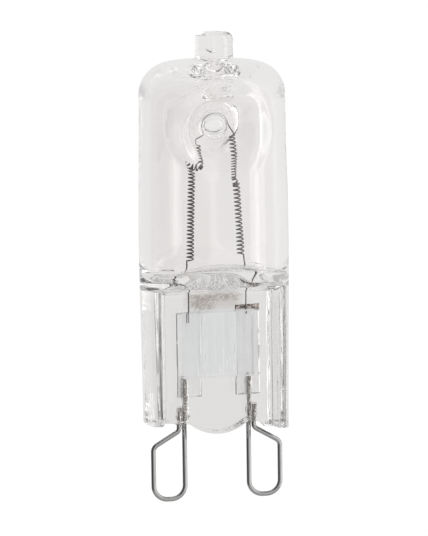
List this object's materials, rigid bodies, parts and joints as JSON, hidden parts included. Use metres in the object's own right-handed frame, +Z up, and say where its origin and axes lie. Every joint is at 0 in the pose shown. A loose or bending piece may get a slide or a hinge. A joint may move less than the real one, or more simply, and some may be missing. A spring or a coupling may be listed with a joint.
{
  "type": "halogen capsule light bulb",
  "caption": "Clear quartz halogen capsule lamp with a tip-off stub, a coiled filament hung over a pressed glass post, a flat pinched base and looped wire pins.",
  "frame": {"origin": "on the lamp's axis, in the plane where the two pins leave the glass", "axes": "+Z runs up the lamp's axis from the pins to the sealed tip, +X runs from the left pin to the right pin, and the front is at -Y"},
  "size_m": [0.0138, 0.0138, 0.0433],
  "materials": {
    "quartz": "clear polished fused quartz",
    "tungsten": "dull grey drawn wire, coiled",
    "molybdenum": "satin rolled foil",
    "pin_wire": "bright drawn wire, a little dulled at the glass"
  },
  "bodies": {
    "root": {"quartz_envelope": "quartz", "filament": "tungsten", "foil_left": "molybdenum", "foil_right": "molybdenum", "pin_left": "pin_wire", "pin_right": "pin_wire"}
  },
  "joints": []
}
